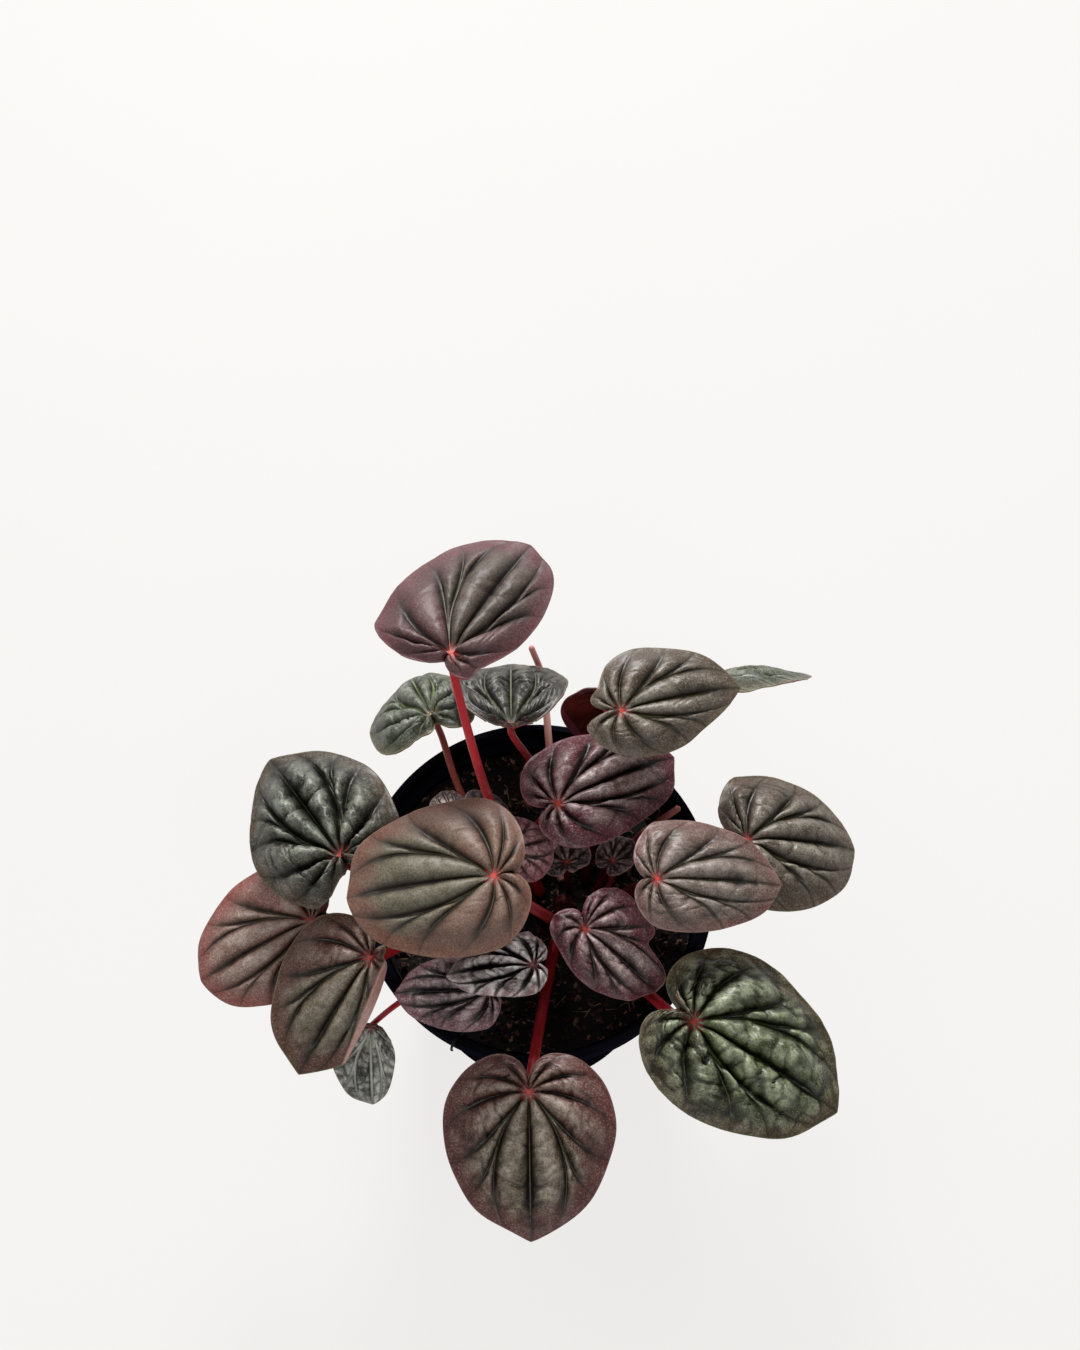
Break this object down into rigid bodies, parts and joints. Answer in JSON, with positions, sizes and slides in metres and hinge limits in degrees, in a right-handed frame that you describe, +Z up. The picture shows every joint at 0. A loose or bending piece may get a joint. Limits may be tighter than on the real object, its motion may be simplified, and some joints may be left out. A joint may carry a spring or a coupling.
{
  "type": "potted ripple peperomia",
  "caption": "Bushy ripple-leaved peperomia with heart-shaped corrugated bronze leaves on red stalks, growing in a round tapered nursery pot that stands on a flat base.",
  "frame": {"origin": "centre of the pot's flat base, on the surface it stands on", "axes": "+Z up along the pot's axis; -Y is the front, where the lowest large leaf hangs over the rim; +X to the right of it"},
  "size_m": [0.1842, 0.1762, 0.1659],
  "materials": {
    "pot_plastic": "satin",
    "potting_soil": "matte",
    "crown_stem": "satin",
    "leaf_bronze": "satin",
    "leaf_plum": "satin",
    "leaf_green": "satin",
    "leaf_silver": "satin",
    "leaf_maroon": "gloss",
    "stalk_red": "satin",
    "spike_pink": "satin"
  },
  "bodies": {
    "root": {"pot": "pot_plastic", "soil": "potting_soil", "crown": "crown_stem", "blade_01": "leaf_plum", "blade_02": "leaf_silver", "blade_03": "leaf_silver", "blade_04": "leaf_maroon", "blade_05": "leaf_bronze", "blade_06": "leaf_silver", "blade_07": "leaf_plum", "blade_08": "leaf_bronze", "blade_09": "leaf_plum", "blade_10": "leaf_plum", "blade_11": "leaf_green", "blade_12": "leaf_bronze", "blade_13": "leaf_bronze", "blade_14": "leaf_green", "blade_15": "leaf_bronze", "blade_16": "leaf_bronze", "blade_17": "leaf_silver", "blade_18": "leaf_plum", "blade_19": "leaf_plum", "blade_20": "leaf_plum", "blade_21": "leaf_plum", "blade_22": "leaf_plum", "blade_23": "leaf_silver", "blade_24": "leaf_plum", "petiole_01": "stalk_red", "petiole_02": "stalk_red", "petiole_03": "stalk_red", "petiole_04": "stalk_red", "petiole_05": "stalk_red", "petiole_06": "stalk_red", "petiole_07": "stalk_red", "petiole_08": "stalk_red", "petiole_09": "stalk_red", "petiole_10": "stalk_red", "petiole_11": "stalk_red", "petiole_12": "stalk_red", "petiole_13": "stalk_red", "petiole_14": "stalk_red", "petiole_15": "stalk_red", "petiole_16": "stalk_red", "petiole_17": "stalk_red", "petiole_18": "stalk_red", "petiole_19": "stalk_red", "petiole_20": "stalk_red", "petiole_21": "stalk_red", "petiole_22": "stalk_red", "petiole_23": "stalk_red", "petiole_24": "stalk_red", "spike_01": "spike_pink", "spike_02": "spike_pink"}
  },
  "joints": []
}
